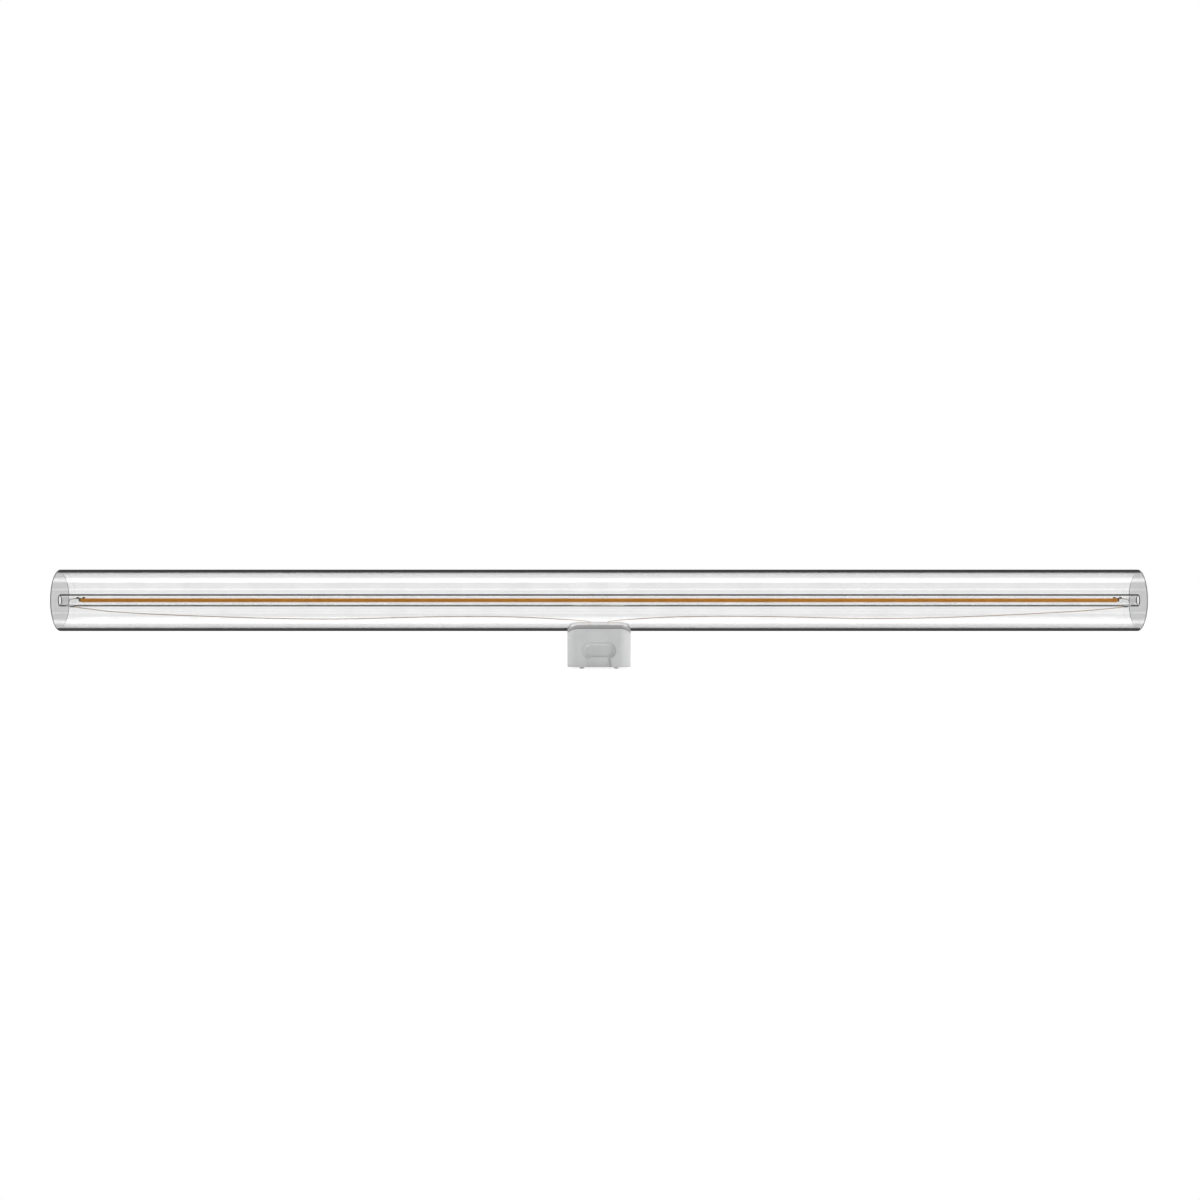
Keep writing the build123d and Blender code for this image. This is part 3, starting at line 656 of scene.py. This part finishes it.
def squared_ball(low, high, power, rows=25, columns=36):
    """A superellipsoid that fills the box from low to high. With c and s the raised cos and sin,
    a point is (c(u) c(v), c(u) s(v), s(u)) times half the box, about its middle."""
    up = np.linspace(-np.pi / 2, np.pi / 2, rows)[1:-1]
    u, v = np.meshgrid(up, 2 * np.pi * np.arange(columns) / columns, indexing="ij")
    level = raised(np.cos(u), power)
    unit = np.stack([level * raised(np.cos(v), power), level * raised(np.sin(v), power),
                     raised(np.sin(u), power)], -1)
    low, high = np.array(low), np.array(high)
    middle, half = (low + high) / 2, (high - low) / 2
    points = middle + half * unit.reshape(-1, 3)
    poles = np.array([middle - half * [0, 0, 1], middle + half * [0, 0, 1]])
    count = len(points)
    faces = [grid_faces(len(up), columns), cap_fan(0, columns, count),
             cap_fan(count - columns, columns, count + 1)]
    return np.concatenate([points, poles]), faces


BEAD_POWER = 0.55
for side in ("left", "right"):
    points, faces = squared_ball(*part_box(f"wire_bead_{side}"), BEAD_POWER)
    make_piece(f"sealing_bead_{side}", points, faces, dark_bead, "dark_bead", f"wire_bead_{side}")


# %% [markdown]
# ## The strip's terminals
# On each end of the strip sits a small bronze clip: a web over the coat's end, two cheeks down the
# bare metal, and two round weld spots stained dark by heat. The same squared ball makes all five
# shells, nearly a box for the sheet and nearly a ball for the spots, and they join into one piece.

# %% The terminals
SHEET = 0.15 * MM
SHEET_POWER = 0.15
WEB_UP = 1.2 * MM
WEB_HALF_WIDTH = 0.45 * MM
CHEEK_Y = 0.295 * MM
CHEEK_FROM, CHEEK_TO = coat_high.x + 0.02 * MM, coat_high.x + 0.8 * MM
SPOT_POWER = 0.8
SPOT_HALF = np.array([0.6, 0.42, 0.42]) * MM
SPOT_UP = 0.25 * MM
for side, way in (("left", -1), ("right", 1)):
    low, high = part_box(f"strip_terminal_{side}")
    web_low = low.z + WEB_UP
    sheets = [((low.x, -WEB_HALF_WIDTH, web_low), (high.x, WEB_HALF_WIDTH, web_low + SHEET))]
    cheek_low, cheek_high = sorted((way * CHEEK_FROM, way * CHEEK_TO))
    for cheek_y in (-CHEEK_Y, CHEEK_Y):
        sheets.append(((cheek_low, cheek_y - SHEET / 2, low.z),
                       (cheek_high, cheek_y + SHEET / 2, web_low)))
    spots = [np.array([x, 0, web_low + SPOT_UP])
             for x in (low.x + SPOT_HALF[0], high.x - SPOT_HALF[0])]
    shells = [squared_ball(*box, SHEET_POWER) for box in sheets]
    shells += [squared_ball(spot - SPOT_HALF, spot + SPOT_HALF, SPOT_POWER) for spot in spots]
    points, faces = [], []
    for shell_points, shell_faces in shells:
        first = sum(map(len, points))
        points.append(shell_points)
        faces += [face_set + first for face_set in shell_faces]
    terminal = make_piece(f"welded_terminal_{side}", np.concatenate(points), faces, lead_metal,
                          "strip_metal", f"strip_terminal_{side}")
    terminal.data.materials.append(weld_metal)
    count = len(terminal.data.polygons)
    in_spots = np.arange(count) >= count * len(sheets) // len(shells)
    terminal.data.polygons.foreach_set("material_index", in_spots.astype(np.int32))


# %% [markdown]
# ## The contacts
# The two contacts are turned brass with a nickel skin: a domed end, a shank through the cap's
# floor, a clinched flange and a small post. Each is one profile turned about its own upright line.
# Turning leaves rings about 0.1 mm apart, which are drawn a little coarser so that they show.

# %% The contacts
contact_metal = finish("nickel_plated_brass", [(0.3, "#a9a59c"), (0.7, "#c4c1b9")], (0.25, 0.42),
                       {"grain": 1.2 * MM, "detail": 3.0},
                       {"grain": 0.15 * MM, "detail": 1.0, "stretch": (0.1, 0.1, 1.0)},
                       0.004 * MM, Metallic=1.0)

SHANK, POST = 1.2 * MM, 0.5 * MM
DOME_HEIGHT = 0.75 * MM
FLANGE_LOW, FLANGE_TOP = 2.02 * MM, 2.52 * MM
CHAMFER = 0.06 * MM
CONTACT_AROUND = 48


def contact_profile(low, flange, top):
    """Distance from the contact's line and height, from the tip of the dome to the post's top. The
    dome is a quarter ellipse, and every corner has one small chamfer point on each side."""
    turn = np.linspace(0, np.pi / 2, 10)[1:]
    dome = np.stack([SHANK * np.sin(turn), low + DOME_HEIGHT * (1 - np.cos(turn))], -1)
    corners = np.array([
        (SHANK, FLANGE_LOW - CHAMFER), (SHANK, FLANGE_LOW),
        (flange - CHAMFER, FLANGE_LOW), (flange, FLANGE_LOW + CHAMFER),
        (flange, FLANGE_TOP - CHAMFER), (flange - CHAMFER, FLANGE_TOP),
        (POST + CHAMFER, FLANGE_TOP), (POST, FLANGE_TOP + CHAMFER),
        (POST, top - CHAMFER), (POST - CHAMFER, top)])
    return np.concatenate([dome, corners]).T


for side in ("left", "right"):
    low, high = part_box(f"contact_{side}")
    middle_x = (low.x + high.x) / 2
    r, z = contact_profile(low.z, (high.x - low.x) / 2, high.z)
    angle = 2 * np.pi * np.arange(CONTACT_AROUND) / CONTACT_AROUND
    points = np.stack([middle_x + np.outer(r, np.cos(angle)).ravel(),
                       np.outer(r, np.sin(angle)).ravel(), np.repeat(z, CONTACT_AROUND)], -1)
    ends = np.array([[middle_x, 0, low.z], [middle_x, 0, high.z]])
    count = len(points)
    faces = [grid_faces(len(r), CONTACT_AROUND), cap_fan(0, CONTACT_AROUND, count),
             cap_fan(count - CONTACT_AROUND, CONTACT_AROUND, count + 1)]
    make_piece(f"nickel_contact_{side}", np.concatenate([points, ends]), faces, contact_metal,
               "contact_metal", f"contact_{side}")


# %% [markdown]
# ## The moulded cap
# The cap and its collar are injection-moulded PBT, a hard white plastic. The tool's surface was
# spark-eroded, so the plastic has a satin grain of about 0.1 mm. It is drawn at 0.25 mm, or it
# would not show at all. The solids already have their fillets, so they keep their own surfaces.
# The collar is coloured a shade greyer. That grey is painted shade for the shadow of the tube above
# it, which here lets all light through and casts none. Inside the cap, the moulded epoxy is
# grey-black and dull, the leads' insulation a soft red, and the sleeve and the lacquer smooth
# enough to mirror a lamp as a soft streak. The board's laminate is a satin green, and the film of
# silicone between glass and collar is milky white.

# %% Plastic finishes
def plastic(name, low_colour, high_colour, rough=(0.36, 0.5), grain=0.25 * MM, depth=0.008 * MM):
    """Moulded plastic with a spark-eroded grain and slow, faint flow marks in its colour."""
    return finish(name, [(0.3, low_colour), (0.7, high_colour)], rough,
                  {"grain": 7 * MM, "detail": 2.0},
                  {"grain": grain, "detail": 2.0, "roughness": 0.6}, depth,
                  rough_from_fine=True, IOR=1.5)


housing_plastic = plastic("satin_housing_pbt", "#e4e5e5", "#e9eaea")
# The collar's darker grey is painted shade: the tube above it casts no shadow on it here.
collar_painted_shade_plastic = plastic("satin_collar_pbt_painted_shade", "#b4b5b5", "#babbbb")
black_moulding = plastic("moulded_epoxy", "#1b1b1c", "#242425", (0.4, 0.6), 0.15 * MM)
lead_insulation = plastic("soft_wire_insulation", "#8e2a22", "#a2352c", (0.4, 0.55), 0.3 * MM,
                          0.005 * MM)
capacitor_sleeve = plastic("shrunk_sleeve", "#202634", "#2b3242", (0.2, 0.35), 0.6 * MM,
                           0.01 * MM)
resistor_lacquer = plastic("lacquered_ceramic", "#88b3b8", "#9cc3c6", (0.2, 0.35), 0.5 * MM,
                           0.01 * MM)
board_laminate = plastic("glass_epoxy_laminate", "#1f5c38", "#286b43", (0.35, 0.5), 0.4 * MM,
                         0.006 * MM)
adhesive_film = finish("silicone_film", [(0.3, "#f1f1f0"), (0.7, "#f8f8f7")], (0.3, 0.5),
                       {"grain": 3 * MM, "detail": 2.0}, IOR=1.41)
print("plastics and film: 8 finishes")

# %% [markdown]
# ## The rim of the snap recess
# The solid has a small fillet round the T-shaped recess. On the real cap the rim falls away over
# about 1 mm, as moulded walls do. A bump that knows the distance to the recess adds the rest. The
# mesh could be cut anew for it, but then the solid and the picture would part ways.

# %% A softer rim, in millimetres
POCKET_FLAT, POCKET_END = 3.9, 3.2
POCKET_Z = 7.75
CHANNEL_HALF, CHANNEL_LEAN, CHANNEL_TOP = 5.0, 0.114, 6.15
RIM_IN, RIM_OUT = -0.3, 1.0
RIM_DEPTH = 1.0 * MM


def soften_recess(material):
    """The distance to the pocket is the root of max(|x| - flat, 0)^2 + (z - middle)^2, less the
    radius of its ends. The distance to the channel is the larger of |x| + lean z - half and
    z - top. The smaller of the two counts, and the surface sinks as it nears 0."""
    tree = material.node_tree
    place = tree.nodes["Texture Coordinate"].outputs["Object"]
    in_mm = add(tree, "ShaderNodeMapping", values={"Scale": (1 / MM,) * 3}, links={"Vector": place})
    parts = add(tree, "ShaderNodeSeparateXYZ", links={"Vector": in_mm}).outputs
    x = add(tree, "ShaderNodeMath", {"operation": "ABSOLUTE"}, links={0: parts["X"]})
    past = add(tree, "ShaderNodeMath", {"operation": "SUBTRACT"}, {1: POCKET_FLAT}, {0: x})
    past = add(tree, "ShaderNodeMath", {"operation": "MAXIMUM"}, {1: 0.0}, {0: past})
    above = add(tree, "ShaderNodeMath", {"operation": "SUBTRACT"}, {1: POCKET_Z}, {0: parts["Z"]})
    offset = add(tree, "ShaderNodeCombineXYZ", links={"X": past, "Z": above})
    reach = add(tree, "ShaderNodeVectorMath", {"operation": "LENGTH"}, links={0: offset})
    pocket = add(tree, "ShaderNodeMath", {"operation": "SUBTRACT"}, {1: POCKET_END},
                 {0: reach.outputs["Value"]})
    lean = add(tree, "ShaderNodeMath", {"operation": "MULTIPLY_ADD"},
               {1: CHANNEL_LEAN, 2: -CHANNEL_HALF}, {0: parts["Z"]})
    side = add(tree, "ShaderNodeMath", {"operation": "ADD"}, links={0: x, 1: lean})
    top = add(tree, "ShaderNodeMath", {"operation": "SUBTRACT"}, {1: CHANNEL_TOP}, {0: parts["Z"]})
    channel = add(tree, "ShaderNodeMath", {"operation": "MAXIMUM"}, links={0: side, 1: top})
    distance = add(tree, "ShaderNodeMath", {"operation": "MINIMUM"}, links={0: pocket, 1: channel})
    height = add(tree, "ShaderNodeMapRange", {"interpolation_type": "SMOOTHSTEP"},
                 {"From Min": RIM_IN, "From Max": RIM_OUT}, {"Value": distance})
    rim = add(tree, "ShaderNodeBump", values={"Strength": 1.0, "Distance": RIM_DEPTH},
              links={"Height": height})
    tree.links.new(rim.outputs["Normal"], tree.nodes["Bump"].inputs["Normal"])


soften_recess(housing_plastic)
print("recess rim falls away over", RIM_OUT - RIM_IN, "mm")

# %% [markdown]
# ## Finishes on the solids that keep their own surface
# The housing, the collar, the board and its parts are good enough as solids, so each only takes its
# finish in place of what it came with. A second mesh over them would add nothing.

# %% Dressing the solids
DRESSED = {
    "cap_housing": (housing_plastic, "white_plastic"),
    "saddle_collar": (collar_painted_shade_plastic, "white_plastic"),
    "cap_adhesive": (adhesive_film, "clear_adhesive"),
    "led_substrate": (strip_metal, "strip_metal"),
    "driver_board": (board_laminate, "board_laminate"),
    "bridge_rectifier": (black_moulding, "black_moulding"),
    "driver_ic": (black_moulding, "black_moulding"),
    "smoothing_capacitor": (capacitor_sleeve, "capacitor_sleeve"),
    "fuse_resistor": (resistor_lacquer, "resistor_lacquer"),
    "contact_lead_left": (lead_insulation, "lead_insulation"),
    "contact_lead_right": (lead_insulation, "lead_insulation"),
}
for node, (material, slot_name) in DRESSED.items():
    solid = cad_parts[node]
    solid.data.materials.clear()
    solid.data.materials.append(material)
print("dressed", len(DRESSED), "solids")


# %% [markdown]
# ## The stage
# A matt white table stands under the lamp. The camera sees mostly the table's own white, and a part
# that takes the lamp's soft shadow. Everything else sees plain matt white, so the table throws no
# more light on the lamp than a real one would.

# %% The table
TABLE_HALF = 3.0
OWN_WHITE = 0.75


def table_finish():
    """Diffuse white with a faint fibre, mixed with plain white for what the camera sees."""
    material = bpy.data.materials.new("matt_white_table")
    material.use_nodes = True
    tree = material.node_tree
    tree.nodes.clear()
    place = add(tree, "ShaderNodeTexCoord").outputs["Object"]
    fibre = add(tree, "ShaderNodeTexNoise", links={"Vector": place},
                values={"Scale": 1 / (0.6 * MM), "Detail": 2.0, "Roughness": 0.5})
    tint = add(tree, "ShaderNodeValToRGB", links={"Fac": fibre},
               stops=[(0.3, "#eeeeee"), (0.7, "#f2f2f2")])
    matt = add(tree, "ShaderNodeBsdfDiffuse", links={"Color": tint})
    white = add(tree, "ShaderNodeEmission", values={"Strength": 1.15})
    shown = add(tree, "ShaderNodeMixShader", values={0: OWN_WHITE}, links={1: matt, 2: white})
    camera_ray = add(tree, "ShaderNodeLightPath").outputs["Is Camera Ray"]
    both = add(tree, "ShaderNodeMixShader", links={0: camera_ray, 1: matt, 2: shown})
    add(tree, "ShaderNodeOutputMaterial", links={"Surface": both})
    return material


table_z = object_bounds()[0][2]
table_mesh = bpy.data.meshes.new("table")
table_corners = [(x * TABLE_HALF, y * TABLE_HALF, table_z)
                 for x, y in ((-1, -1), (1, -1), (1, 1), (-1, 1))]
table_mesh.from_pydata(table_corners, [], [(0, 1, 2, 3)])
table_mesh.materials.append(table_finish())
table = bpy.data.objects.new("table", table_mesh)
bpy.context.scene.collection.objects.link(table)
table.visible_glossy = False
table.visible_transmission = False
print(f"table {table_z / MM:.2f} mm high")


# %% [markdown]
# ## The light tent
# Glass has no colour of its own, so what it shows is the studio. The tent is dark, with a narrow
# and a wide soft box above the tube, the same two below it, and dim grey beyond them. They are what
# glass and metal mirror, and they make the bright bands along the tube. What is seen straight
# through glass is plain white. Matt surfaces take their light from a plain room that is darker
# towards the camera. A Light Path node tells these three apart.

# %% The light tent
TENT_TILT = math.radians(-3.5)
BOXES = [(0.0, 0.05), (0.235, 0.05), (0.247, 1.8), (0.256, 1.8), (0.268, 0.05), (0.425, 0.05),
         (0.44, 2.8), (0.53, 2.8), (0.55, 0.35), (0.70, 0.25), (0.74, 0.07), (1.0, 0.05)]
ROOM = [(0.0, 0.0), (0.2, 0.1), (0.4, 1.0), (0.5, 1.3), (0.7, 0.95), (1.0, 0.95)]


def tent_world():
    """Brightness by direction. In the tent it follows the rise, the angle from the camera's side
    round the tube's axis: the arc tangent of the size of z over minus y, as a share of a half
    turn. In the room it follows y, from 0 at the camera's side to 1 at the back."""
    world = bpy.data.worlds.new("light_tent")
    world.use_nodes = True
    tree = world.node_tree
    tree.nodes.clear()
    direction = add(tree, "ShaderNodeMapping", values={"Rotation": (TENT_TILT, 0, 0)},
                    links={"Vector": add(tree, "ShaderNodeTexCoord").outputs["Generated"]})
    parts = add(tree, "ShaderNodeSeparateXYZ", links={"Vector": direction}).outputs
    height = add(tree, "ShaderNodeMath", {"operation": "ABSOLUTE"}, links={0: parts["Z"]})
    front = add(tree, "ShaderNodeMath", {"operation": "MULTIPLY"}, {1: -1.0}, {0: parts["Y"]})
    rise = add(tree, "ShaderNodeMath", {"operation": "ARCTAN2"}, links={0: height, 1: front})
    share = add(tree, "ShaderNodeMath", {"operation": "DIVIDE"}, {1: math.pi}, {0: rise})
    back = add(tree, "ShaderNodeMapRange", values={"From Min": -1.0, "From Max": 1.0},
               links={"Value": parts["Y"]})
    boxes = add(tree, "ShaderNodeValToRGB", links={"Fac": share}, stops=BOXES)
    depth = add(tree, "ShaderNodeValToRGB", links={"Fac": back}, stops=ROOM)
    tent = add(tree, "ShaderNodeBackground", links={"Color": boxes})
    room = add(tree, "ShaderNodeBackground", links={"Color": depth})
    white = add(tree, "ShaderNodeBackground", values={"Color": (1, 1, 1, 1)})
    path = add(tree, "ShaderNodeLightPath").outputs
    straight = add(tree, "ShaderNodeMath", {"operation": "MAXIMUM"},
                   links={0: path["Is Camera Ray"], 1: path["Is Transmission Ray"]})
    mirrored = add(tree, "ShaderNodeMath", {"operation": "GREATER_THAN"}, {1: 0.5},
                   {0: path["Glossy Depth"]})
    plain = add(tree, "ShaderNodeMixShader", links={0: straight, 1: room, 2: white})
    seen = add(tree, "ShaderNodeMixShader", links={0: mirrored, 1: plain, 2: tent})
    add(tree, "ShaderNodeOutputWorld", links={"Surface": seen})
    return world


bpy.context.scene.world = tent_world()
print("tent:", len(BOXES), "levels round the tube")


# %% [markdown]
# ## The lamps
# A soft lamp at the right of the camera puts the faint shadow into the snap recess. One overhead
# lights the table, which throws its light up at the cap. Sun lamps would be simpler, but their
# shadows are hard.

# %% The lamps
def soft_lamp(name, place, aim, size, power):
    """A rectangular soft lamp at place, turned so that it shines at aim. It is not seen through
    glass.
    """
    light = bpy.data.lights.new(name, "AREA")
    light.shape = "RECTANGLE"
    light.size, light.size_y = size
    light.energy = power
    lamp = bpy.data.objects.new(name, light)
    lamp.location = place
    lamp.rotation_euler = (Vector(aim) - Vector(place)).to_track_quat("-Z", "Y").to_euler()
    lamp.visible_transmission = False
    bpy.context.scene.collection.objects.link(lamp)
    print(f"{name}: {power} W, {(Vector(aim) - Vector(place)).length:.2f} m away")
    return lamp


soft_lamp("key_lamp", place=(0.7, -0.55, 0.12), aim=(0, 0, 0.02), size=(0.35, 0.35), power=1.1)
overhead = soft_lamp("overhead_lamp", place=(0, 0, 0.55), aim=(0, 0, 0), size=(0.7, 0.15),
                     power=1.2)
overhead.visible_glossy = False


# %% [markdown]
# ## The camera
# The lens is 50 mm on a 36 mm sensor. The picture was taken level with the tube, 773 mm from its
# axis: the tube's ends show as ellipses, and how wide they are gives the distance.

# %% The camera
CAMERA_RIGHT, CAMERA_AWAY, CAMERA_UP = 0.45 * MM, 773 * MM, 0.15 * MM
camera_data = bpy.data.cameras.new("camera")
camera_data.lens = 50.0
camera_data.sensor_width = 36.0
camera = bpy.data.objects.new("camera", camera_data)
camera.location = (CAMERA_RIGHT, -CAMERA_AWAY, AXIS_Z + CAMERA_UP)
camera.rotation_euler = (math.pi / 2, 0, 0)
bpy.context.scene.collection.objects.link(camera)
bpy.context.scene.camera = camera
bpy.context.scene.view_settings.view_transform = "Standard"
print("camera at", [round(value, 4) for value in camera.location])

bpy.context.view_layer.update()
